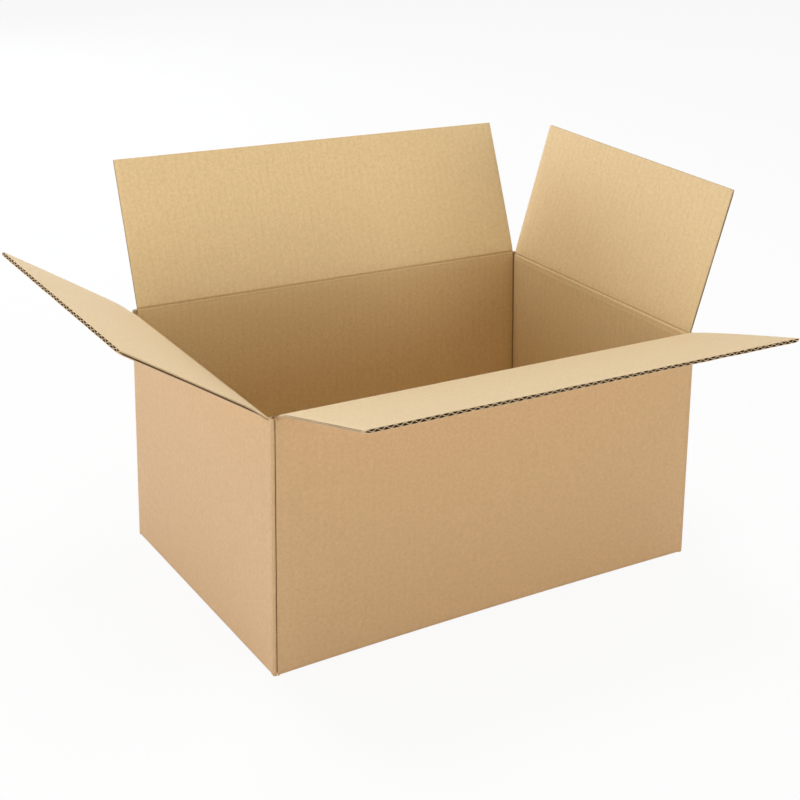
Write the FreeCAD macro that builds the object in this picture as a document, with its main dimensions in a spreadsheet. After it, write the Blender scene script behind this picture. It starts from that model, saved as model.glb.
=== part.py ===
"""An open shipping box of single-wall corrugated board.

The box is one die-cut sheet: four wall panels, a glue tab, and a flap above and below each panel.
The bottom flaps are folded shut. The four top flaps are spread, and each one turns on its own crease.

Frame: the origin is the middle of the base, on the floor. X runs along the length, Y to the back, Z up.
"""
import FreeCAD, Part
import os
import re
import Sketcher

Vector = FreeCAD.Vector

# Driving dimensions, in millimetres and degrees
SIZES = {
    "box_length": 432,          # outside, along X
    "box_width": 292,           # outside, along Y
    "crease_height": 230,       # front and back flaps' creases above the floor
    "board": 3.8,               # thickness of the board
    "top_seam": 8,              # left open between the front and back flaps when they are shut
    "liner": 0.45,              # paper skin left on each side of the flutes
    "web": 0.45,                # half the paper left between two neighbouring flute gaps
    "flute_pitch": 7.8,         # from one flute to the next
    "flute_margin": 5,          # closed board between the last flute gap and a flap's side edge
    "score": 0.6,               # board crushed thin at a crease
    "ramp_spare": 0.4,          # how much longer than its rise the ramp beside a crease is
    "crease_gap": 0.1,          # clearance around a crease, and between flaps shut on each other
    "slot_gap": 1.2,            # clearance between a flap's side edge and the wall beside it
    "slot_depth": 0.6,          # how far the slots run below the side flaps' creases
    "fold_radius": 3,           # outside of the upright folds
    "base_radius": 2,           # outside of the folds along the floor
    "tab_fold_radius": 1.8,     # fold between the left panel and its glue tab
    "joint_spare": 0.4,         # from that fold to the front panel's cut edge
    "joint_groove": 2.4,        # depth of the flute laid open along that cut edge
    "tab_width": 35,            # glue tab behind the front panel
    "tab_taper": 12,            # how much shorter the tab is at its free edge, at each end
    "tab_clear": 3,             # from the tab to the bottom, and to a side flap that is shut
    "seam_width": 1.2,          # groove where the two outer bottom flaps meet
    "seam_skin": 0.6,           # their touching outer skins, below that groove
    "front_angle": 74.7,        # how far each flap leans outward from upright
    "back_angle": 22.4,
    "left_angle": 59,
    "right_angle": 15.4,
}

# What follows from them
DERIVED = {
    "side_crease_height": "=crease_height - board - crease_gap",
    "flap_length": "=box_width / 2 - score / 2 - top_seam / 2",
    "flap_offset": "=score / 2 + crease_gap",
    "score_drop": "=flap_offset + score + crease_gap",
    "score_ramp": "=board - score + ramp_spare",
    "slot": "=board + slot_gap",
    "long_flap_width": "=box_length - 2 * slot",
    "side_flap_width": "=box_width - 2 * slot",
    "flute_height": "=board - 2 * liner",
    "flute_apex": "=flute_height * (1 - 2 * web / flute_pitch)",
    "long_flutes": "=floor((long_flap_width - 2 * flute_margin) / flute_pitch - 0.5)",
    "side_flutes": "=floor((side_flap_width - 2 * flute_margin) / flute_pitch - 0.5)",
    "joint_gap": "=tab_fold_radius + joint_spare",
    "tab_foot": "=2 * board + tab_clear",
    "tab_top": "=side_crease_height - flap_offset - board - tab_clear",
}
NAME = re.compile(r"\b(" + "|".join([*SIZES, *DERIVED]) + r")\b")


def make_sheet(doc):
    sheet = doc.addObject("Spreadsheet::Sheet", "Sizes")
    for row, (name, value) in enumerate({**SIZES, **DERIVED}.items(), start=1):
        sheet.set(f"A{row}", name)
        sheet.set(f"B{row}", str(value))
        sheet.setAlias(f"B{row}", name)
    doc.recompute()
    return sheet


def bound(text):
    """The expression with each size name pointed at the sheet."""
    return NAME.sub(r"Sizes.\1", text)


def value_of(text):
    return float(doc.Sizes.evalExpression(bound(text)))


def new_body(name):
    body = doc.addObject("PartDesign::Body", name)
    body.Label = name
    return body


def plane_of(body, role):
    return next(plane for plane in body.Origin.OriginFeatures if plane.Role == role)


def arc_between(start, end, radius):
    """The short arc from start to end that turns to the left, seen along the way."""
    chord = end - start
    left = Vector(-chord.y, chord.x, 0).normalize()
    sagitta = radius - (radius ** 2 - (chord.Length / 2) ** 2) ** 0.5
    return Part.Arc(start, (start + end) / 2 - left * sagitta, end)


def add_outline(sketch, corners):
    """A closed outline. A corner is (x, y), or (x, y, radius) where an arc leads to it."""
    points = [Vector(value_of(corner[0]), value_of(corner[1]), 0) for corner in corners]
    first = sketch.GeometryCount
    count = len(corners)
    for index in range(count):
        following = (index + 1) % count
        start, end = points[index], points[following]
        if len(corners[following]) == 3:
            sketch.addGeometry(arc_between(start, end, value_of(corners[following][2])), False)
        else:
            sketch.addGeometry(Part.LineSegment(start, end), False)
    for index in range(count):
        following = (index + 1) % count
        turns = len(corners[following]) == 3
        line, next_line = first + index, first + following
        sketch.addConstraint(Sketcher.Constraint("Coincident", line, 2, next_line, 1))
        for axis, text in zip("XY", corners[following]):
            row = sketch.addConstraint(
                Sketcher.Constraint(f"Distance{axis}", -1, 1, next_line, 1, value_of(text)))
            sketch.setExpression(f"Constraints[{row}]", bound(text))
        if turns:
            row = sketch.addConstraint(
                Sketcher.Constraint("Radius", line, value_of(corners[following][2])))
            sketch.setExpression(f"Constraints[{row}]", bound(corners[following][2]))


def new_sketch(body, name, role, *outlines, level="0"):
    """A sketch on one of the body's own planes, or at a level above it."""
    sketch = body.newObject("Sketcher::SketchObject", name)
    sketch.AttachmentSupport = [(plane_of(body, role), "")]
    sketch.MapMode = "FlatFace"
    sketch.setExpression("AttachmentOffset.Base.z", bound(level))
    for corners in outlines:
        add_outline(sketch, corners)
    doc.recompute()
    return sketch


def pad(body, sketch, name, length, both_ways=False):
    feature = body.newObject("PartDesign::Pad", name)
    feature.Profile = sketch
    feature.setExpression("Length", bound(length))
    feature.Midplane = both_ways
    doc.recompute()
    return feature


def pocket(body, sketch, name, length, upward=False, both_ways=False):
    feature = body.newObject("PartDesign::Pocket", name)
    feature.Profile = sketch
    feature.setExpression("Length", bound(length))
    feature.Midplane = both_ways
    feature.Reversed = upward
    before = body.Shape.Volume
    doc.recompute()
    if not body.Shape.Volume < before:
        raise RuntimeError(f"{name} cuts nothing")
    return feature


def mirrored(outline):
    """The same outline on the other side of the vertical axis, still counter-clockwise."""
    turned = []
    count = len(outline)
    for index in range(count - 1, -1, -1):
        leads = outline[(index + 1) % count]
        turned.append((f"-({outline[index][0]})", outline[index][1], *leads[2:]))
    return turned


def rectangle(left, right, low, high):
    return [(left, low), (right, low), (right, high), (left, high)]


def wall_top(half, crease):
    """The crushed lip of a wall, from its outer face over the crease to its inner face."""
    return [
        (half, crease),
        (f"{half} - score", crease, "score / 2"),
        (f"{half} - score", f"{crease} - score_drop"),
        (f"{half} - board", f"{crease} - score_drop - score_ramp"),
    ]


def make_box():
    """The walls, the glue tab and the folded bottom: everything below the top creases."""
    body = new_body("box_body")

    # Front and back panels, each with the outer bottom flap that folds in under it
    half = "box_width / 2"
    panel = [
        ("0", "0"),
        (f"{half} - base_radius", "0"),
        (half, "base_radius", "base_radius"),
        *wall_top(half, "crease_height"),
        (f"{half} - board", "board"),
        ("0", "board"),
    ]
    pad(body, new_sketch(body, "BackPanel", "YZ_Plane", panel), "BackWall", "box_length", True)
    pad(body, new_sketch(body, "FrontPanel", "YZ_Plane", mirrored(panel)), "FrontWall",
        "box_length", True)

    # End panels, each with the inner bottom flap that lies on top of the outer ones
    half = "box_length / 2"
    panel = [
        (f"{half} - board", "0"),
        (f"{half} - base_radius", "0"),
        (half, "base_radius", "base_radius"),
        *wall_top(half, "side_crease_height"),
        (f"{half} - board", "2 * board"),
        (f"{half} - flap_length", "2 * board"),
        (f"{half} - flap_length", "board"),
        (f"{half} - board", "board"),
    ]
    pad(body, new_sketch(body, "RightPanel", "XZ_Plane", panel), "RightWall", "box_width", True)
    pad(body, new_sketch(body, "LeftPanel", "XZ_Plane", mirrored(panel)), "LeftWall",
        "box_width", True)

    # Glue tab: the left panel's edge, folded round behind the front panel
    face = "-box_width / 2 + board"
    near = "-box_length / 2 + board"
    tab = [
        (near, "tab_foot"),
        (f"{near} + tab_width", "tab_foot + tab_taper"),
        (f"{near} + tab_width", "tab_top - tab_taper"),
        (near, "tab_top"),
    ]
    pad(body, new_sketch(body, "TabOutline", "XZ_Plane", tab, level=f"-({face} + board)"),
        "GlueTab", "board")

    # The ends of the long walls come down to the side creases, as the slots between flaps do
    reach_x = "box_length / 2 - slot"
    reach_y = "box_width / 2 - slot"
    corner = rectangle(reach_x, "box_length / 2 + slot", reach_y, "box_width / 2 + slot")
    lower = [(x, f"-({y})") for x, y in reversed(corner)]
    slots = new_sketch(body, "SlotPlan", "XY_Plane", corner, lower, mirrored(corner),
                       mirrored(lower), level="side_crease_height - slot_depth")
    pocket(body, slots, "Slots", "crease_height - side_crease_height + slot_depth + score", True)

    # Plan of the upright folds: three rounded corners, and the joint at the near left one
    x, y = "box_length / 2", "box_width / 2"
    plan = [
        (f"-{x} + joint_gap", f"-{y}"),
        (f"{x} - fold_radius", f"-{y}"),
        (x, f"-{y} + fold_radius", "fold_radius"),
        (x, f"{y} - fold_radius"),
        (f"{x} - fold_radius", y, "fold_radius"),
        (f"-{x} + fold_radius", y),
        (f"-{x}", f"{y} - fold_radius", "fold_radius"),
        (f"-{x}", f"-{y} + board + tab_fold_radius"),
        (f"-{x} + tab_fold_radius", f"-{y} + board", "tab_fold_radius"),
        (f"-{x} + joint_gap", f"-{y} + board"),
    ]
    around = rectangle(f"-{x} - board", f"{x} + board", f"-{y} - board", f"{y} + board")
    trim = new_sketch(body, "FoldPlan", "XY_Plane", plan, around)
    pocket(body, trim, "UprightFolds", "crease_height + score", True)

    # The flute laid open along the front panel's cut edge
    groove = rectangle(f"-{x} + joint_gap", f"-{x} + joint_gap + joint_groove",
                       f"-{y} + liner", f"-{y} + board - liner")
    cut_edge = new_sketch(body, "CutEdgePlan", "XY_Plane", groove)
    pocket(body, cut_edge, "CutEdge", "crease_height + score", True)

    # Seam between the two outer bottom flaps, seen from inside
    seam = rectangle("-seam_width / 2", "seam_width / 2", "seam_skin", "board")
    pocket(body, new_sketch(body, "SeamSection", "YZ_Plane", seam), "Seam",
           "box_length - 2 * board", both_ways=True)
    return body


def make_flap(name, width, flutes, crease, half, turn, angle):
    """A top flap, modelled upright over its crease and then leaned outward.

    Its own origin is on the crease's axis: X along the crease, Y towards the inside of the box.
    """
    body = new_body(name)

    # Crushed thin at the crease, full board beyond it
    outer, inner = "flap_offset", "flap_offset + board"
    section = [
        (outer, "flap_offset"),
        (f"{outer} + score", "flap_offset"),
        (inner, "flap_offset + score_ramp"),
        (inner, "flap_length"),
        (outer, "flap_length"),
    ]
    pad(body, new_sketch(body, f"{name}_section", "YZ_Plane", section), f"{name}_board",
        width, True)

    # One flute: the gap under a crest and the gap over the trough beside it, open at the free edge
    start = f"-({flutes} + 0.5) * flute_pitch / 2"
    low, high = f"{outer} + liner", f"{inner} - liner"
    crest = [
        (f"{start} + web", low),
        (f"{start} + flute_pitch - web", low),
        (f"{start} + flute_pitch / 2", f"{low} + flute_apex"),
    ]
    trough = [
        (f"{start} + flute_pitch / 2 + web", high),
        (f"{start} + flute_pitch", f"{high} - flute_apex"),
        (f"{start} + 1.5 * flute_pitch - web", high),
    ]
    gap_sketch = new_sketch(body, f"{name}_flute", "XY_Plane", crest, trough, level="flap_length")
    gaps = pocket(body, gap_sketch, f"{name}_gaps", "flap_length - flap_offset - 2 * score_ramp")
    rows = body.newObject("PartDesign::LinearPattern", f"{name}_flutes")
    rows.Originals = [gaps]
    rows.Direction = (gap_sketch, ["H_Axis"])
    rows.setExpression("Occurrences", bound(flutes))
    rows.setExpression("Length", bound(f"({flutes} - 1) * flute_pitch"))
    body.Tip = rows

    body.setExpression("Placement", bound(
        f"placement(vector(0; 0; {crease}); rotationz({turn}))"
        f" * placement(vector(0; score / 2 - {half}; 0); rotationx({angle}))"))
    doc.recompute()
    return body


def check(subparts):
    for item in doc.Objects:
        if "Invalid" in item.State or "Error" in item.State:
            raise RuntimeError(f"{item.Label}: {item.State}")
    for body in subparts:
        shape = body.Shape
        if shape.isNull() or not shape.isValid() or len(shape.Solids) != 1:
            raise RuntimeError(f"{body.Label} is not one sound solid")
        box = shape.BoundBox
        print(f"{body.Label}: {shape.Volume / 1000:.1f} cm3, X {box.XMin:.1f} to {box.XMax:.1f}, "
              f"Y {box.YMin:.1f} to {box.YMax:.1f}, Z {box.ZMin:.1f} to {box.ZMax:.1f}")


def export(subparts):
    os.makedirs("parts", exist_ok=True)
    for body in subparts:
        body.Shape.exportStep(f"parts/{body.Label}.step")


doc = FreeCAD.newDocument("OpenBox")
make_sheet(doc)
box = make_box()
long_flap = ("long_flap_width", "long_flutes", "crease_height", "box_width / 2")
side_flap = ("side_flap_width", "side_flutes", "side_crease_height", "box_length / 2")
flaps = [
    make_flap("front_flap", *long_flap, 0, "front_angle"),
    make_flap("back_flap", *long_flap, 180, "back_angle"),
    make_flap("left_flap", *side_flap, -90, "left_angle"),
    make_flap("right_flap", *side_flap, 90, "right_angle"),
]
check([box, *flaps])
export([box, *flaps])
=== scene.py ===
# %% [markdown]
# An open cardboard box, ready to be packed.
# The imported CAD model comes in first, as a fixed frame: one body for the box and one for each of
# the four top flaps. Everything made below is put in that frame, in metres, so that the flaps
# still turn about their own creases.

# %% Load the frame
import math

import bmesh
import bpy
from mathutils import Matrix, Vector, noise
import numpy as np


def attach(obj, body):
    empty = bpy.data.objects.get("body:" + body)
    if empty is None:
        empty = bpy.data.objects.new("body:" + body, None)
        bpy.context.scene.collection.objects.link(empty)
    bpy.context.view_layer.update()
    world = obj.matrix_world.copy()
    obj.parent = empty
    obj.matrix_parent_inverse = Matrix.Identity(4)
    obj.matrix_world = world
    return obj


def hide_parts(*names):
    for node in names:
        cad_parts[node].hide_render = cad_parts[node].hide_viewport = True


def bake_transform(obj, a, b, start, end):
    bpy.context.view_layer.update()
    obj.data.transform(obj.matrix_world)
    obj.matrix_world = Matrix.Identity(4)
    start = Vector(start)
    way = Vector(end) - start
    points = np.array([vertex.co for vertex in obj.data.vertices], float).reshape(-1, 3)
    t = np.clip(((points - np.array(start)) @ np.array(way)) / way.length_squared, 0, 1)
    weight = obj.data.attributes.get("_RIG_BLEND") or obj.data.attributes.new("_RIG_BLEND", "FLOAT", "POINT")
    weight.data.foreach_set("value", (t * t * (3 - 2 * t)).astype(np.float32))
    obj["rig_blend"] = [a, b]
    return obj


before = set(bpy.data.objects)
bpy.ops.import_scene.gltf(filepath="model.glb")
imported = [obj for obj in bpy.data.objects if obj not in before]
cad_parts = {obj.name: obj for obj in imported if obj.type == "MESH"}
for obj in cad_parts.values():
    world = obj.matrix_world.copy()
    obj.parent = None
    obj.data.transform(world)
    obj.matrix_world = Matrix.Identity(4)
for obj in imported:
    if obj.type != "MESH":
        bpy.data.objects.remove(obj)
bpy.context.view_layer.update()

# %% [markdown]
# The board and the box in figures. The box is made of single-wall board: two liners of stiff
# paper with a waved sheet, the fluting, glued between them. The outside of the box is measured to
# the outer faces of its walls, and the end walls fold one board lower than the long ones, so
# that the long flaps shut over the side flaps.

# %% Figures of the board and of the box
mm = 0.001
board = 3.8 * mm            # thickness
liner = 0.34 * mm           # each outer sheet of the board
paper = 0.54 * mm           # the waved sheet between them
flute_pitch = 7.8 * mm
lip = 0.3 * mm              # from a wall's outer face in to its flap's hinge line
flap_start = 0.4 * mm       # from the hinge line to a flap's outer face
flap_length = 141.7 * mm
half_length, half_width = 216 * mm, 146 * mm
long_reach, side_reach = 211 * mm, 141 * mm         # half the width of a flap
long_crease, side_crease = 230 * mm, 226.1 * mm     # heights of the hinge lines
slot_floor = 229.8 * mm     # top of the rounded corners
wall_end, flap_end = -4.7 * mm, 4.5 * mm            # a crease strip, from the hinge line
bend = 2.6 * mm             # half of the width over which a crease folds
far_fold = 0.8              # lean in radians above which a crease gapes on the inside
print("flutes across a long flap:", round(2 * long_reach / flute_pitch))

# %% [markdown]
# Each wall is told apart by the direction in which its length runs, going round the box as a
# maker lays out the flat blank, and by the direction that faces away from the box. Its flap leans
# outward by its own angle, and its start is where the middle of the panel lies along the blank.
# Keeping these in one table lets one set of steps make all four sides.

# %% The four sides
def side(along, outward, half, half_other, reach, crease, lean, start):
    return {"along": Vector(along), "outward": Vector(outward), "half": half,
            "half_other": half_other, "reach": reach, "crease": crease,
            "lean": math.radians(lean), "start": start}


sides = {
    "front": side((1, 0, 0), (0, -1, 0), half_width, half_length,
                  long_reach, long_crease, 74.7, 0.216),
    "right": side((0, 1, 0), (1, 0, 0), half_length, half_width,
                  side_reach, side_crease, 15.4, 0.578),
    "back": side((-1, 0, 0), (0, 1, 0), half_width, half_length,
                 long_reach, long_crease, 22.4, 0.940),
    "left": side((0, -1, 0), (-1, 0, 0), half_length, half_width,
                 side_reach, side_crease, 59.0, 1.302),
}
up = Vector((0, 0, 1))
print("sides:", {name: round(math.degrees(s["lean"]), 1) for name, s in sides.items()})

# %% [markdown]
# A packed box is never quite true. The lower right end stands a little wider than the top, and
# the foot of the near long wall swings out towards the corner where the box is glued. One gentle
# movement of every point of the walls gives both, and it fades out at the creases, because the
# flaps turn about straight lines there.

# %% The slight set of the walls
# Movements at the floor, in mm
widening, left_shift = 16.7, 1.2
back_swing, front_swing, glued_forward = 6.5, 5.6, 10.1
front_depth = 90 * mm       # how far behind the front wall its own swing reaches


def settled(point):
    below = min(1, max(0, 1 - point.z / side_crease))
    share = min(1, max(0, (point.x + half_length) / (2 * half_length)))
    near = min(1, max(0, 1 - (point.y + half_width) / front_depth))
    swing = (back_swing * share * (1 - near)
             + (front_swing - glued_forward * (1 - share) ** 2.4) * near)
    return point + Vector((widening * share - left_shift, swing, 0)) * mm * below


foot = Vector((half_length, -half_width, 0))
print("lower right corner moves by", settled(foot) - foot)

# %% [markdown]
# Board starts as a flat sheet, and so does its mesh: a grid is laid out on the blank, the slots
# are cut from it, an extrusion gives it its second skin, and every point is then carried to where
# folding puts it. The grid could be bent with a modifier, but a rule of our own for each fold
# keeps the creases sharp where the real ones are. The blank's own lengths are kept as a UV map,
# so that the flutes run on from a wall into its flap, and a crush-and-shade attribute holds where
# the scoring wheel pressed the board and where painted shade darkens grooves, creases and slots.

# %% Lay out, thicken and fold a sheet
OUTSIDE, INSIDE, CUT, FLUTING = range(4)


def new_blank():
    bm = bmesh.new()
    for word in ("column", "row", "skin"):
        bm.verts.layers.int.new(word)
    # how far the board is crushed, and how much painted shade darkens it
    bm.verts.layers.float.new("crushed")
    bm.loops.layers.uv.new("blank")
    return bm


def add_sheet(bm, across, along, place, blank=None, cut_away=None, crush=None,
              finish=(OUTSIDE, INSIDE, CUT)):
    column, row, skin = (bm.verts.layers.int[word] for word in ("column", "row", "skin"))
    crushed = bm.verts.layers.float["crushed"]
    wide, high = len(across) - 1, len(along) - 1
    verts = bmesh.ops.create_grid(bm, x_segments=wide, y_segments=high, size=1)["verts"]
    for vert in verts:
        vert[column] = round((vert.co.x + 1) / 2 * wide)
        vert[row] = round((vert.co.y + 1) / 2 * high)
    faces = list(dict.fromkeys(face for vert in verts for face in vert.link_faces))
    if cut_away:
        def middle(face, layer, grid):
            used = {vert[layer] for vert in face.verts}
            return (grid[min(used)] + grid[max(used)]) / 2

        waste = [face for face in faces
                 if cut_away(middle(face, column, across), middle(face, row, along))]
        bmesh.ops.delete(bm, geom=waste, context="FACES")
        faces = [face for face in faces if face.is_valid]
    second = bmesh.ops.extrude_face_region(bm, geom=faces)["geom"]
    second_verts = [item for item in second if isinstance(item, bmesh.types.BMVert)]
    for vert in second_verts:
        vert[skin] = 1
    faces = list(dict.fromkeys([face for vert in second_verts for face in vert.link_faces]
                               + [face for face in faces if face.is_valid]))
    uv = bm.loops.layers.uv["blank"]
    for face in faces:
        skins = {vert[skin] for vert in face.verts}
        face.material_index = finish[2] if len(skins) == 2 else finish[skins.pop()]
        face.smooth = True
        for loop in face.loops:
            a, t = across[loop.vert[column]], along[loop.vert[row]]
            loop[uv].uv = blank(a, t) if blank else (a, t)
    made = {vert for face in faces for vert in face.verts}
    for vert in made:
        a, t = across[vert[column]], along[vert[row]]
        vert.co = place(a, t, vert[skin])
        vert[crushed] = crush(a, t, vert[skin]) if crush else 0
    bmesh.ops.recalc_face_normals(bm, faces=faces)
    return faces


def finish_piece(name, bm, finishes, sharp=34):
    open_edges = sum(not edge.is_manifold for edge in bm.edges)
    mesh = bpy.data.meshes.new(name)
    bm.to_mesh(mesh)
    bm.free()
    mesh.set_sharp_from_angle(angle=math.radians(sharp))
    for finish in finishes:
        mesh.materials.append(finish)
    piece = bpy.data.objects.new(name, mesh)
    bpy.context.scene.collection.objects.link(piece)
    print(name, "has", len(mesh.polygons), "faces and", open_edges, "open edges")
    return piece


def lines(low, high, step):
    count = max(1, round((high - low) / step))
    return [low + (high - low) * i / count for i in range(count + 1)]


# %% [markdown]
# Kraft board has three papers to show: the outer liner, warm and a little pink, the inner liner,
# which is yellower, and the darker recycled fluting between them. All three share one pattern of
# fibres and pulp clouds, so it is one node group, placed in each material with its own values.
# It reads the object's coordinates, which meet at the creases, so no seam shows there.

# %% Node helpers and the paper pattern
def new_group(name, inputs, outputs):
    group = bpy.data.node_groups.new(name, "ShaderNodeTree")
    for word, kind, value in inputs:
        socket = group.interface.new_socket(word, in_out="INPUT", socket_type=kind)
        if value is not None:
            socket.default_value = value
    for word, kind in outputs:
        group.interface.new_socket(word, in_out="OUTPUT", socket_type=kind)
    return group, group.nodes.new("NodeGroupInput"), group.nodes.new("NodeGroupOutput")


def node(tree, kind, links=None, **values):
    made = tree.nodes.new(kind)
    for word, value in values.items():
        setattr(made, word, value)
    for socket, source in (links or {}).items():
        if isinstance(source, bpy.types.NodeSocket):
            tree.links.new(source, made.inputs[socket])
        else:
            made.inputs[socket].default_value = source
    return made


def sums(tree, operation, first, second=0.0, third=None, clamp=False):
    links = {0: first, 1: second}
    if third is not None:
        links[2] = third
    return node(tree, "ShaderNodeMath", links, operation=operation, use_clamp=clamp).outputs[0]


paper_group, given, result = new_group(
    "paper fibres",
    [("Position", "NodeSocketVector", None), ("Cloud Size", "NodeSocketFloat", 330.0),
     ("Fibre Size", "NodeSocketFloat", 760.0)],
    [("Tone", "NodeSocketFloat"), ("Fleck", "NodeSocketFloat"), ("Height", "NodeSocketFloat")])
cloud = node(paper_group, "ShaderNodeTexNoise",
             {"Vector": given.outputs["Position"], "Scale": given.outputs["Cloud Size"],
              "Detail": 5.0, "Roughness": 0.62}, noise_dimensions="3D").outputs["Fac"]
grain = node(paper_group, "ShaderNodeTexNoise",
             {"Vector": given.outputs["Position"], "Scale": given.outputs["Fibre Size"],
              "Detail": 3.0, "Roughness": 0.7}, noise_dimensions="3D").outputs["Fac"]
fleck = node(paper_group, "ShaderNodeTexNoise",
             {"Vector": given.outputs["Position"], "Scale": 420.0, "Detail": 2.0,
              "Roughness": 0.5, "Distortion": 1.2}, noise_dimensions="3D").outputs["Fac"]
tone = sums(paper_group, "ADD", sums(paper_group, "MULTIPLY", cloud, 0.55),
            sums(paper_group, "MULTIPLY", grain, 0.45))
spots = node(paper_group, "ShaderNodeMapRange",
             {"Value": fleck, "From Min": 0.66, "From Max": 0.78, "To Min": 0.0, "To Max": 1.0},
             interpolation_type="SMOOTHSTEP").outputs["Result"]
paper_group.links.new(tone, result.inputs["Tone"])
paper_group.links.new(spots, result.inputs["Fleck"])
paper_group.links.new(grain, result.inputs["Height"])
print("paper pattern:", len(paper_group.nodes), "nodes")

# %% [markdown]
# Corrugated board shows its flutes through the liners as a faint washboard: the paper sinks a few
# hundredths of a millimetre between the tips it is glued to, and the glue lines are a shade
# darker. The waves follow the blank's own lengths, so this group reads the UV map. It is relief
# for a bump, because as real faces it would take thousands for a ripple thinner than a hair.

# %% The washboard of the flutes
flute_group, given, result = new_group(
    "flute washboard",
    [("Blank", "NodeSocketVector", None), ("Pitch", "NodeSocketFloat", flute_pitch)],
    [("Height", "NodeSocketFloat"), ("Glue Line", "NodeSocketFloat")])
split = node(flute_group, "ShaderNodeSeparateXYZ", {"Vector": given.outputs["Blank"]})
wander = node(flute_group, "ShaderNodeTexNoise",
              {"Vector": given.outputs["Blank"], "Scale": 14.0, "Detail": 1.0},
              noise_dimensions="2D").outputs["Fac"]
shifted = sums(flute_group, "MULTIPLY_ADD", wander, 0.0016, split.outputs["X"])
turns = sums(flute_group, "DIVIDE", sums(flute_group, "MULTIPLY", shifted, 2 * math.pi),
             given.outputs["Pitch"])
wave = sums(flute_group, "COSINE", turns)
uneven = node(flute_group, "ShaderNodeTexNoise",
              {"Vector": given.outputs["Blank"], "Scale": 45.0, "Detail": 2.0},
              noise_dimensions="2D").outputs["Fac"]
height = sums(flute_group, "MULTIPLY", sums(flute_group, "MULTIPLY_ADD", wave, 0.5, 0.5), uneven)
glue = sums(flute_group, "POWER", sums(flute_group, "MULTIPLY_ADD", wave, 0.5, 0.5), 5.0)
flute_group.links.new(height, result.inputs["Height"])
flute_group.links.new(glue, result.inputs["Glue Line"])
print("washboard:", len(flute_group.nodes), "nodes")

# %% [markdown]
# The liners themselves. A mix between a light and a dark kraft, led by the pulp clouds, gives
# the mottled colour. Flecks of bark, glue lines and the crushed creases darken it a little,
# and the same patterns lift or lower the surface in a bump. Painted shade darkens it further in
# the inner corner grooves, along the creases and at the slots. Paper is rough and only faintly
# glossy, so the roughness stays high and varies with the fibres.

# %% Liner papers
def new_paper(name, fibre_size=760.0):
    """A material with the fibre pattern, and how far crushing and painted shade darken the board at each
    point.
    """
    material = bpy.data.materials.new(name)
    material.use_nodes = True
    tree = material.node_tree
    place = node(tree, "ShaderNodeTexCoord")
    fibres = node(tree, "ShaderNodeGroup", node_tree=paper_group)
    fibres.inputs["Fibre Size"].default_value = fibre_size
    tree.links.new(place.outputs["Object"], fibres.inputs["Position"])
    crushed = node(tree, "ShaderNodeAttribute", attribute_name="crushed").outputs["Fac"]
    return material, tree, tree.nodes["Principled BSDF"], fibres, crushed


def liner_paper(name, light, dark, glue_share, relief):
    material, tree, shader, fibres, crushed = new_paper(name)
    flutes = node(tree, "ShaderNodeGroup", node_tree=flute_group)
    blank = node(tree, "ShaderNodeUVMap", uv_map="blank")
    tree.links.new(blank.outputs["UV"], flutes.inputs["Blank"])
    spread = node(tree, "ShaderNodeMapRange",
                  {"Value": fibres.outputs["Tone"], "From Min": 0.36, "From Max": 0.64})
    kraft = node(tree, "ShaderNodeMix", data_type="RGBA",
                 links={"Factor": spread.outputs["Result"], 6: dark, 7: light}).outputs[2]
    # Flecks and glue lines are the paper's own marks; the crush-and-shade attribute adds crushed board and
    # painted shade in grooves, creases and slots.
    marks_and_shade = sums(tree, "ADD",
                 sums(tree, "ADD", sums(tree, "MULTIPLY", fibres.outputs["Fleck"], 0.16),
                      sums(tree, "MULTIPLY", flutes.outputs["Glue Line"], glue_share)),
                 sums(tree, "MULTIPLY", crushed, 0.42), clamp=True)
    # the dark colour of flecks, glue lines, crushed board and painted shade
    deep = (dark[0] * 0.42, dark[1] * 0.34, dark[2] * 0.26, 1)
    colour = node(tree, "ShaderNodeMix", data_type="RGBA",
                  links={"Factor": marks_and_shade, 6: kraft, 7: deep}).outputs[2]
    tree.links.new(colour, shader.inputs["Base Color"])
    shader.inputs["Sheen Weight"].default_value = 0.22
    shader.inputs["Sheen Roughness"].default_value = 0.45
    rough = sums(tree, "MULTIPLY_ADD", fibres.outputs["Height"], 0.16, 0.60)
    tree.links.new(rough, shader.inputs["Roughness"])
    relief_height = sums(tree, "ADD", sums(tree, "MULTIPLY", fibres.outputs["Height"], 0.22),
                         sums(tree, "MULTIPLY", flutes.outputs["Height"], relief))
    bump = node(tree, "ShaderNodeBump", {"Height": relief_height, "Distance": 0.00016,
                                         "Strength": 1.0})
    tree.links.new(bump.outputs["Normal"], shader.inputs["Normal"])
    return material


outer_liner = liner_paper("outer liner", (0.668, 0.443, 0.230, 1), (0.568, 0.363, 0.178, 1),
                          0.016, 0.28)
inner_liner = liner_paper("inner liner", (0.80, 0.605, 0.33, 1), (0.68, 0.495, 0.25, 1),
                          0.035, 0.36)
print("liners:", outer_liner.name, inner_liner.name)

# %% [markdown]
# Where the board is cut, the torn fibres are pale and matt, and the fluting inside is made of
# rougher and darker recycled paper. Both use the same fibre pattern with a finer size and no
# washboard, and both get browner where the board is crushed and where shade is painted on them.

# %% Cut edges and fluting paper
# the brown of crushed cut board and of painted shade
crushed_brown = (0.20, 0.115, 0.045, 1)


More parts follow.
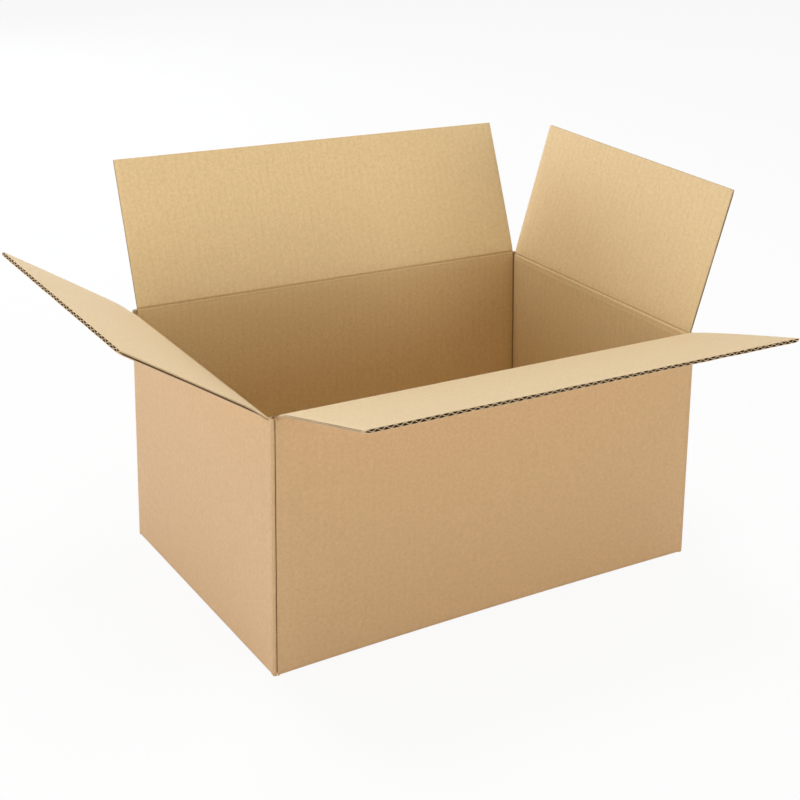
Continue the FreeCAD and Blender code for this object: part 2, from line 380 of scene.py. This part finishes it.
def raw_paper(name, light, dark, fibre_size, roughness):
    material, tree, shader, fibres, crushed = new_paper(name, fibre_size)
    torn = node(tree, "ShaderNodeMix", data_type="RGBA",
                links={"Factor": fibres.outputs["Tone"], 6: dark, 7: light}).outputs[2]
    # browner where crushed, and painted shade on the cut faces at the foot of the slots and along the flaps'
    # side edges
    colour = node(tree, "ShaderNodeMix", data_type="RGBA",
                  links={"Factor": sums(tree, "MULTIPLY", crushed, 0.8), 6: torn,
                         7: crushed_brown}).outputs[2]
    tree.links.new(colour, shader.inputs["Base Color"])
    bump = node(tree, "ShaderNodeBump", {"Height": fibres.outputs["Height"], "Distance": 0.0002})
    tree.links.new(bump.outputs["Normal"], shader.inputs["Normal"])
    shader.inputs["Roughness"].default_value = roughness
    return material


cut_edge = raw_paper("cut edge", (0.82, 0.64, 0.41, 1), (0.62, 0.45, 0.26, 1), 1400.0, 0.85)
fluting = raw_paper("fluting paper", (0.44, 0.26, 0.10, 1), (0.27, 0.15, 0.05, 1), 1100.0, 0.9)
papers = [outer_liner, inner_liner, cut_edge, fluting]
print("papers:", [paper_kind.name for paper_kind in papers])

# %% [markdown]
# The walls are one strip of board that runs round the box. It starts at the cut edge of the front
# wall, turns three rounded corners, and at the last one jogs inward and runs on as the glue tab
# behind the front wall. Each line of the strip is noted with its outer and its inner point in
# plan. On the inside of a corner the liner is pressed into a narrow groove, and painted shade
# makes it a dark upright line that fades out beside it. The first lines of the tab close the
# corner up to its top, and the rest of it stays below the left flap when that is shut.

# %% Plan of the walls
corner_radius = 3 * mm
tab_fold_radius = 1.8 * mm
cut_at = -half_length + 3.0 * mm    # the front wall's cut edge
tab_high = 219 * mm
tab_taper = 0.34                    # how much the tab loses at its foot and top, by its width
beside_flap = 0.05 * mm             # from a flap's side edge to the first line of the corner
plan = []


def plan_line(outer, inner, wall, kind, low=0.0, high=slot_floor):
    plan.append({"outer": Vector(outer), "inner": Vector(inner), "wall": wall, "kind": kind,
                 "low": low, "high": high})


def straight(name, start, end):
    wall = sides[name]
    reach = wall["reach"]
    places = [a for a in lines(-reach, reach, 11 * mm) if start < a < end]
    places += [a for a in (reach + beside_flap, -reach - beside_flap) if start < a < end]
    for a in sorted([start, *places, end]):
        outer = wall["along"] * a + wall["outward"] * wall["half"]
        inner_reach = wall["half_other"] - board - 1.1 * mm
        inner = wall["along"] * max(-inner_reach, min(inner_reach, a))
        inner += wall["outward"] * (wall["half"] - board)
        kind = "wall" if abs(a) <= reach + 0.001 * mm else "corner"
        plan_line(outer, inner, name, kind)


def corner(name, following):
    wall, turn = sides[name], sides[following]
    tip = wall["along"] * wall["half_other"] + wall["outward"] * wall["half"]
    centre = tip - (wall["outward"] + wall["along"]) * corner_radius
    groove = [(4.0, 3.0), (2.6, 2.6), (3.0, 4.0)]
    for index, (back, deep) in enumerate(groove):
        angle = math.radians(22.5 + 22.5 * index)
        outer = centre + corner_radius * (wall["outward"] * math.cos(angle)
                                          + wall["along"] * math.sin(angle))
        plan_line(outer, tip - wall["along"] * back * mm - wall["outward"] * deep * mm,
                  following, "corner")


straight("front", cut_at, half_length - corner_radius)
corner("front", "right")
straight("right", -half_width + corner_radius, half_width - corner_radius)
corner("right", "back")
straight("back", -half_length + corner_radius, half_length - corner_radius)
corner("back", "left")
straight("left", -half_width + corner_radius, half_width - tab_fold_radius)
near_left = Vector((-half_length, -half_width, 0))
for outer, inner in (((0.15, 1.2), (4.2, 4.9)), ((0.8, 0.45), (5.0, 5.6)),
                     ((2.5, 0.5), (5.9, 6.4)), ((2.75, 1.2), (7.0, 7.1)),
                     ((2.7, 3.75), (8.2, 7.6)), ((6.0, 3.83), (8.9, 7.6))):
    plan_line(near_left + Vector((*outer, 0)) * mm, near_left + Vector((*inner, 0)) * mm,
              "tab", "corner", 0.0, slot_floor if outer[1] < 3 else tab_high)
for a in (9.5, 15, 22, 29, 35):
    plan_line(near_left + Vector((a, 3.85, 0)) * mm, near_left + Vector((a, 7.6, 0)) * mm,
              "tab", "tab", (9.2 + tab_taper * a) * mm, (220.3 - tab_taper * a) * mm)
print("lines round the walls:", len(plan))

# %% [markdown]
# Seen in section, a wall runs down to a fold of small radius and on into its bottom flap. The
# long walls' flaps meet in the middle of the base. The end walls' flaps lie on top of them, so
# they step up by one board just past their fold, and the long walls' flaps are narrower there.
# On the inner side the fold is a tight crushed line.

# %% Section of a wall and its bottom flap
def smooth(x):
    x = min(1, max(0, x))
    return x * x * (3 - 2 * x)


base_radius = 1.3 * mm
fold_end = base_radius - math.pi / 2 * base_radius
crush_width = 0.5 * mm
step_start, step_run = 3 * mm, 6 * mm
base_seam = 0.6 * mm        # half of the gap where the two outer bottom flaps meet


def stepped(depth, step):
    return step * smooth((depth - step_start) / step_run)


def wall_section(t, skin, step):
    """Depth from the outer face and height above the floor, at t along the blank."""
    knee = board + crush_width
    last = fold_end + base_radius - knee
    if skin == 0:
        if t >= base_radius:
            return 0, t
        if t >= fold_end:
            angle = (base_radius - t) / base_radius
            return base_radius * (1 - math.cos(angle)), base_radius * (1 - math.sin(angle))
        depth = base_radius + fold_end - t
        return depth, stepped(depth, step)
    if t >= knee:
        return board, t
    if t >= last:
        share = (knee - t) / (knee - last)
        return board + crush_width * share, board + crush_width * (1 - share)
    depth = base_radius + fold_end - t
    return depth, board + stepped(depth, step)


flats = lines(flap_length, 12 * mm, 11 * mm) + [9 * mm, 7 * mm, 5.5 * mm, board + crush_width]
base_rows = [fold_end + base_radius - flat for flat in flats]
fold_rows = [fold_end, fold_end * 0.31, base_radius * 0.22, base_radius * 0.61, base_radius]
rows = base_rows + fold_rows + [board + crush_width, 8 * mm] + lines(
    12 * mm, 200 * mm, 12 * mm) + [206 * mm, 211 * mm, 215 * mm, 218 * mm, 220.4 * mm, 222 * mm]
rows[0] = fold_end + base_radius - half_width + base_seam
print("lines up the blank:", len(rows), "from", rows[0], "to", rows[-1])

# %% [markdown]
# Now the walls and the base are folded in one go. The slots between the bottom flaps are cut
# from the grid first. The glue tab has its own foot and tapered ends, so its lines are drawn
# together. The cut edge of the front wall then gets its open flute: its face is inset by one
# liner and pushed in.

# %% Fold the walls and the base
straight_high = 200 * mm        # up to here a wall is as folded; above, it runs to its crease
tab_skin_high = 215 * mm
narrow_share, narrow_run = 206.5 / 211, 9 * mm      # long bottom flaps, beside the end ones
edge_groove = 2.4 * mm          # depth of the flute laid open along the cut edge
tab_uv_step = 0.003


def press_line(wall):
    """Where the scoring wheel pressed the inner face, above the hinge line."""
    return 1.8 * mm if wall["reach"] == side_reach else 0


def crease_dip(wall, t):
    """How far the inner face sinks beside the top crease, at t above the hinge line."""
    off = t - press_line(wall)
    line, broad, spread = (1.3, 2.2, 12) if wall["lean"] > far_fold else (0.6, 0.45, 5)
    return (line * math.exp(-(off / (0.8 * mm)) ** 2)
            + broad * math.exp(-(off / (spread * mm)) ** 2)) * mm


def wall_point(index, t, skin):
    line = plan[index]
    point = line["inner"] if skin else line["outer"]
    if line["wall"] == "tab" or line["kind"] == "corner":
        share = (t - base_radius) / (rows[-1] - base_radius)
        high = line["high"]
        if skin and line["wall"] == "tab":
            high = min(high, tab_skin_high)
        z = line["low"] + (high - line["low"]) * share
        shut = 0                # closes the glued joint at its foot
        if line["wall"] == "tab" and not skin and 2.2 * mm < point.x + half_length < 2.8 * mm:
            shut = (cut_at - point.x) * math.exp(-z / (3 * mm))
        return settled(Vector((point.x + shut, point.y, z)))
    wall = sides[line["wall"]]
    long_wall = wall["reach"] == long_reach
    depth, z = wall_section(t, skin, 0 if long_wall else board + 0.1 * mm)
    top = wall["crease"] + wall_end
    if z > straight_high:
        z = straight_high + ((z - straight_high) * (top - straight_high)
                             / (rows[-1] - straight_high))
        if skin:
            depth -= crease_dip(wall, z - wall["crease"])
    outer = line["outer"]
    if t < base_radius and long_wall:
        narrow = 1 - (1 - narrow_share) * smooth(depth / narrow_run)
        outer = Vector((outer.x * narrow, outer.y, 0))
    place = outer - wall["outward"] * depth
    return settled(Vector((place.x, place.y, z)))


def no_board(index, t):
    if t > base_radius:
        return False
    before, after = plan[math.floor(index)], plan[math.ceil(index)]
    return before["kind"] != "wall" or after["kind"] != "wall" or before["wall"] != after["wall"]


def blank_place(index, t):
    line = plan[index]
    if line["wall"] == "tab":
        return sides["left"]["start"] + half_width + index * tab_uv_step, t
    wall = sides[line["wall"]]
    return wall["start"] + line["outer"].dot(wall["along"]), t


# How dark each point of the walls is drawn: the crushed bottom fold, and painted shade in the inner corner
# grooves and beside them, at the fold of the glued corner and at the foot of the slots.
def wall_crush_and_shade(index, t, skin):
    line = plan[index]
    at_fold = math.exp(-((t - 0.5 * mm) / (2.4 * mm)) ** 2)
    at_corner = line["kind"] == "corner"
    if skin:
        corner_shade = 0
        if line["kind"] == "wall":
            wall = sides[line["wall"]]
            off_middle = abs(line["outer"].dot(wall["along"]))
            if abs(off_middle - wall["reach"]) < 0.01 * mm:
                # painted shade fading out from the inner corner
                corner_shade = 0.3
        # the inner corner groove: pressed board, darkened most with painted shade
        return max(at_fold, 1.0 if at_corner else corner_shade)
    # painted shade at the fold of the glued corner
    if line["wall"] == "tab" and plan[index - 1]["wall"] == "left":
        return 0.7
    # painted shade at the foot of the slots
    if at_corner and t == rows[-1]:
        return 0.8
    # a little darker along the foot and along the outer rounded corners
    return max(0.3 * at_fold, 0.12 if at_corner else 0)


walls = new_blank()
made = add_sheet(walls, list(range(len(plan))), rows, wall_point, blank=blank_place,
                 cut_away=no_board, crush=wall_crush_and_shade)
column = walls.verts.layers.int["column"]
edge_faces = [face for face in made if face.is_valid
              and all(vert[column] == 0 for vert in face.verts)]
bmesh.ops.inset_region(walls, faces=edge_faces, thickness=liner, use_even_offset=True,
                       use_boundary=True)
pushed = bmesh.ops.extrude_face_region(walls, geom=edge_faces)["geom"]
pushed_verts = [item for item in pushed if isinstance(item, bmesh.types.BMVert)]
bmesh.ops.translate(walls, verts=pushed_verts, vec=(edge_groove, 0, 0))
bmesh.ops.delete(walls, geom=[face for face in edge_faces if face.is_valid], context="FACES")
for face in {face for vert in pushed_verts for face in vert.link_faces}:
    face.material_index = FLUTING
bmesh.ops.recalc_face_normals(walls, faces=walls.faces[:])
box_walls = finish_piece("box_walls", walls, papers)
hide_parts("box_body")
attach(box_walls, "box")

# %% [markdown]
# A point of a flap is given in the flap's own terms: along its crease, out from the hinge line,
# and from its outer face inward. Turning it about the hinge line puts it in the frame. The crease
# strip uses the same rule, with an angle that grows over a few millimetres, as crushed
# board bends.

# %% Where a flap's points go
def hinge_point(wall, a, u, v, angle):
    out = u * math.sin(angle) - v * math.cos(angle)
    rise = u * math.cos(angle) + v * math.sin(angle)
    return (wall["along"] * a + wall["outward"] * (wall["half"] - lip + out)
            + up * (wall["crease"] + rise))


print("front hinge line at", hinge_point(sides["front"], 0, 0, 0, 0))

# %% [markdown]
# The long flaps are slightly bowed and twisted, as cut board is, and always towards their outer
# side, so that they still shut flat over the side flaps. The side flaps bend a little
# inward. Nothing moves at the crease itself.

# %% The set of each flap
# Movements of the free corners in mm: along the crease at either end, then outward at either end
flap_trim = {"front": (0, -3.5, 0, 0), "back": (0, -2.5, -3.5, -2.5),
             "right": (0, 0, -3.0, 0), "left": (3.0, -3.0, 0, 0)}


def outward_share(u):
    """From 0 where the crease strip ends to 1 at the free edge."""
    return max(0, (u - flap_end) / (flap_length - flap_end))


def flap_set(name, a, u):
    out = outward_share(u)
    across = a / sides[name]["reach"]
    if name == "front":
        return -1.0 * mm * max(0, across) * out / 0.12 * math.exp(1 - out / 0.12)
    if name == "back":
        return -mm * (2.0 * out ** 1.6 * max(0, -across) ** 1.5 + 0.6 * out ** 2)
    if name == "left":
        return 0.5 * mm * math.sin(math.pi * out) + 2.0 * mm * out ** 1.5
    return 0.8 * mm * out ** 2 * (1 - across ** 2)


def trimmed(name, a, u):
    """The flap's cut outline: each free corner may stand back a few millimetres."""
    low_a, high_a, low_u, high_u = (x * mm for x in flap_trim[name])
    out = outward_share(u)
    share = 0.5 + 0.5 * a / sides[name]["reach"]
    return (a + out * (low_a * (1 - share) + high_a * share),
            u + out * (low_u * (1 - share) + high_u * share))


print("trim of the free corners in mm:", flap_trim)

# %% [markdown]
# Each flap is real corrugated board: an outer and an inner liner, each a thin sheet, and the
# fluting that waves between them from side to side. Only this way does the free edge show its
# row of dark openings with paper of a true thickness round them, and the side edges one long
# slit. A picture of flutes on a slab would lose both at the first look from the side.

# %% Build the flaps
def worn(a, u, seed, size):
    """A smooth random value from 0 to 1, the same at every run."""
    return 0.5 + 0.5 * noise.noise(Vector((a / size, u / size, seed)))


least_board = 0.55 * mm         # thickness left in the middle of a crease


def board_faces(wall, a, t):
    """Where the outer and the inner face lie at t from the hinge line, with the pressed rims."""
    base = -lip + (flap_start + lip) * smooth((t + bend) / (2 * bend))
    at_side = math.exp(-((wall["reach"] - abs(a)) / (2.2 * mm)) ** 2)
    at_side *= smooth((t - wall_end) / (9 * mm)) * (0.85 + 0.3 * worn(t, 0, 7, 30 * mm))
    at_free = math.exp(-((flap_length - t) / (2.5 * mm)) ** 2)
    rim = at_free * (0.3 + 0.6 * worn(a, 0, wall["start"] * 50, 23 * mm)) * mm
    least = least_board + (2 * liner + 1.3 * paper - least_board) * smooth(abs(t) / flap_end)
    high = base + board - crease_dip(wall, t) - 0.15 * rim - 0.35 * mm * at_side
    press = (1.1 if wall is sides["left"] else 1.6) * mm
    low = max(base, min(base + rim + press * at_side, high - least))
    return low, max(high, low + least)


def rim_lines(reach, step):
    rim = [0, 0.8 * mm, 1.8 * mm, 3 * mm, 5 * mm]
    middle = lines(-reach + 8 * mm, reach - 8 * mm, step)
    return [-reach + x for x in rim] + middle + [reach - x for x in reversed(rim)]


def make_flap(name):
    wall = sides[name]
    reach, angle, start = wall["reach"], wall["lean"], wall["start"]
    out_rows = ([flap_end, 6 * mm, 8 * mm, 11 * mm] + lines(16 * mm, flap_length - 8 * mm, 11 * mm)
                + [flap_length - x * mm for x in (5, 3, 1.5, 0)])

    def leaf(inner):
        def place(a, u, skin):
            low, high = board_faces(wall, a, u)
            v = high - liner * (1 - skin) if inner else low + liner * skin
            return hinge_point(wall, *trimmed(name, a, u), v + flap_set(name, a, u), angle)
        return place

    def waved(a, u, skin):
        low, high = board_faces(wall, a, u)
        turn = 2 * math.pi * (start + a) / flute_pitch
        tall = (high - low - 2 * liner - paper) / 2
        slope = tall * 2 * math.pi / flute_pitch * math.sin(turn)
        v = (low + high) / 2 + flap_set(name, a, u) + tall * math.cos(turn)
        v += (0.5 if skin else -0.5) * paper * math.sqrt(1 + slope ** 2)
        return hinge_point(wall, *trimmed(name, a, u), v, angle)

    def on_blank(a, u):
        return start + a, wall["crease"] + u

    # The side edges: crushed cut board, darkened with painted shade of their open slit. Right at the free
    # edge, a faint darkening.
    def edge_crush_and_shade(a, u, skin):
        if abs(a) > reach - 0.1 * mm:
            return 0.55
        return 0.12 * math.exp(-((flap_length - u) / (1.2 * mm)) ** 2)

    flap = new_blank()
    across = rim_lines(reach, 7.5 * mm)
    add_sheet(flap, across, out_rows, leaf(False), on_blank, crush=edge_crush_and_shade,
              finish=(OUTSIDE, FLUTING, CUT))
    add_sheet(flap, across, out_rows, leaf(True), on_blank, crush=edge_crush_and_shade,
              finish=(FLUTING, INSIDE, CUT))
    add_sheet(flap, lines(-reach + 0.3 * mm, reach - 0.3 * mm, flute_pitch / 8),
              out_rows[:-1] + [flap_length - 0.15 * mm], waved, on_blank,
              finish=(FLUTING, FLUTING, CUT))
    piece = finish_piece(f"{name}_flap_board", flap, papers, sharp=50)
    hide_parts(f"{name}_flap")
    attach(piece, f"{name}_flap")


for name in sides:
    make_flap(name)

# %% [markdown]
# Between wall and flap the board is scored: a wheel crushes it to a part of its thickness, and it
# folds there. Each crease is a strip of board that stays with the wall on one side and turns with
# the flap on the other, so it is blended between the two bodies. It is thin in the middle and as
# thick as the board at both of its ends, where it meets them.

# %% Build the creases
def make_crease(name):
    wall = sides[name]

    def place(a, t, skin):
        share = smooth((t + bend) / (2 * bend))
        return hinge_point(wall, a, t, board_faces(wall, a, t)[skin], wall["lean"] * share)

    strip = new_blank()
    steps = [wall_end, *(x * mm for x in (-3.8, -3, -2.3, -1.7, -1.2, -0.8, -0.4, 0, 0.4, 0.8,
                                          1.2, 1.6, 2, 2.4, 2.9, 3.4, 3.9)), flap_end]
    pressed = press_line(wall)
    # how dark the pressed crease line is drawn: crushed board with painted shade in its groove
    depth = 1.0 if wall["lean"] > far_fold else 0.4

    def score_and_shade(a, t, skin):
        # painted shade at the strip's ends, beside the slots
        at_end = 0.7 if abs(a) > wall["reach"] - 0.1 * mm else 0
        line = math.exp(-((t - pressed * skin) / (0.75 * mm)) ** 2)
        return max(at_end, (depth if skin else 0.3) * line)

    add_sheet(strip, rim_lines(wall["reach"], 9 * mm), steps, place,
              lambda a, t: (wall["start"] + a, wall["crease"] + t), crush=score_and_shade)
    piece = finish_piece(f"{name}_crease", strip, papers, sharp=60)
    start = hinge_point(wall, 0, -bend, 1 * mm, 0)
    end = hinge_point(wall, 0, bend, 1 * mm, wall["lean"])
    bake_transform(piece, "box", f"{name}_flap", start=tuple(start), end=tuple(end))


for name in sides:
    make_crease(name)

# %% [markdown]
# The box stands on a plain pale floor that runs on into a white surround, as in a catalogue
# picture. White seen by the camera comes from the Light Path node, not from more light on the
# box: the world and the floor are white to camera rays, and the floor still takes the
# box's shadow.

# %% Floor and surround
def make_floor():
    bm = bmesh.new()
    bmesh.ops.create_circle(bm, cap_ends=True, segments=64, radius=6)
    mesh = bpy.data.meshes.new("studio_floor")
    bm.to_mesh(mesh)
    bm.free()
    floor = bpy.data.objects.new("studio_floor", mesh)
    bpy.context.scene.collection.objects.link(floor)
    floor.location = (0, 0, -0.0004)
    material = bpy.data.materials.new("pale floor")
    material.use_nodes = True
    tree = material.node_tree
    shader = tree.nodes["Principled BSDF"]
    shader.inputs["Base Color"].default_value = (0.86, 0.86, 0.86, 1)
    shader.inputs["Roughness"].default_value = 0.9
    glow = node(tree, "ShaderNodeEmission", {"Color": (1, 1, 1, 1), "Strength": 1.0})
    path = node(tree, "ShaderNodeLightPath")
    share = sums(tree, "MULTIPLY", path.outputs["Is Camera Ray"], 0.92)
    mix = node(tree, "ShaderNodeMixShader", {0: share, 1: shader.outputs[0], 2: glow.outputs[0]})
    tree.links.new(mix.outputs[0], tree.nodes["Material Output"].inputs["Surface"])
    mesh.materials.append(material)


make_floor()
world = bpy.data.worlds.new("studio")
bpy.context.scene.world = world
world.use_nodes = True
tree = world.node_tree
backdrop = tree.nodes["Background"]
seen = node(tree, "ShaderNodeBackground", {"Color": (1, 1, 1, 1), "Strength": 1.0})
path = node(tree, "ShaderNodeLightPath")
look = sums(tree, "MAXIMUM", sums(tree, "MAXIMUM", path.outputs["Is Camera Ray"],
                                  path.outputs["Is Glossy Ray"]),
            path.outputs["Is Transmission Ray"])
choice = node(tree, "ShaderNodeMixShader", {0: look, 1: backdrop.outputs[0], 2: seen.outputs[0]})
tree.links.new(choice.outputs[0], tree.nodes["World Output"].inputs["Surface"])
backdrop.inputs["Color"].default_value = (1.0, 0.98, 0.95, 1)
backdrop.inputs["Strength"].default_value = 0.13
print("floor and world are ready")

# %% [markdown]
# Soft studio light from four wide lamps. One low on the left makes the end wall lighter than the
# long one, a warmer one in front lights the long wall, one hangs straight above the open box, and
# one behind it gives the front flap its pale top. Wide lamps give the soft shading inside.

# %% Lamps
lit_point = Vector((0, 0, 0.2))
lamp_width = 1.5


def lamp(name, place, power, colour):
    light = bpy.data.lights.new(name, "AREA")
    light.shape = "DISK"
    light.size = lamp_width
    light.energy = power
    light.color = colour
    made = bpy.data.objects.new(name, light)
    bpy.context.scene.collection.objects.link(made)
    made.location = place
    made.rotation_euler = (lit_point - Vector(place)).to_track_quat("-Z", "Y").to_euler()


lamp("left_lamp", (-2.9, -0.4, 0.6), 47, (0.985, 1.0, 1.05))
lamp("front_lamp", (0.9, -2.8, 0.6), 38, (1.0, 0.97, 0.91))
lamp("top_lamp", (0, 0, 2.8), 38.5, (1.0, 0.99, 0.96))
lamp("back_lamp", (-0.3, 2.8, 1.2), 46, (0.96, 1.0, 1.07))
print("four lamps")

# %% [markdown]
# The camera stands where the photographer stood, found by matching the box's corners: in front
# and to the left, about 21 degrees above the horizon, with a long lens and rolled by two degrees.
# The picture's centre lies a little off the lens's axis, which the shift gives.

# %% Camera
picture_side, focal_length = 800, 1558          # in pixels
axis_x, axis_y = 430, 360                       # where the lens's axis meets the picture
stand = (-0.7124, -1.1532, 0.7069)
yaw, pitch, roll = (math.radians(x) for x in (-32.45, 20.77, 1.91))
back = Vector((math.sin(yaw) * math.cos(pitch), -math.cos(yaw) * math.cos(pitch),
               math.sin(pitch)))
right = (-back).cross(up).normalized()
upward = right.cross(-back)
right_rolled = right * math.cos(roll) + upward * math.sin(roll)
up_rolled = upward * math.cos(roll) - right * math.sin(roll)
lens = bpy.data.cameras.new("camera")
lens.sensor_width = 36
lens.lens = focal_length / picture_side * lens.sensor_width
lens.shift_x = (picture_side / 2 - axis_x) / picture_side
lens.shift_y = (axis_y - picture_side / 2) / picture_side
lens.clip_start, lens.clip_end = 0.05, 50
camera = bpy.data.objects.new("camera", lens)
bpy.context.scene.collection.objects.link(camera)
turned = Matrix((right_rolled, up_rolled, back)).transposed().to_4x4()
camera.matrix_world = Matrix.Translation(stand) @ turned
bpy.context.scene.camera = camera
bpy.context.scene.view_settings.view_transform = "Standard"
print("camera at", tuple(round(x, 3) for x in camera.matrix_world.translation))
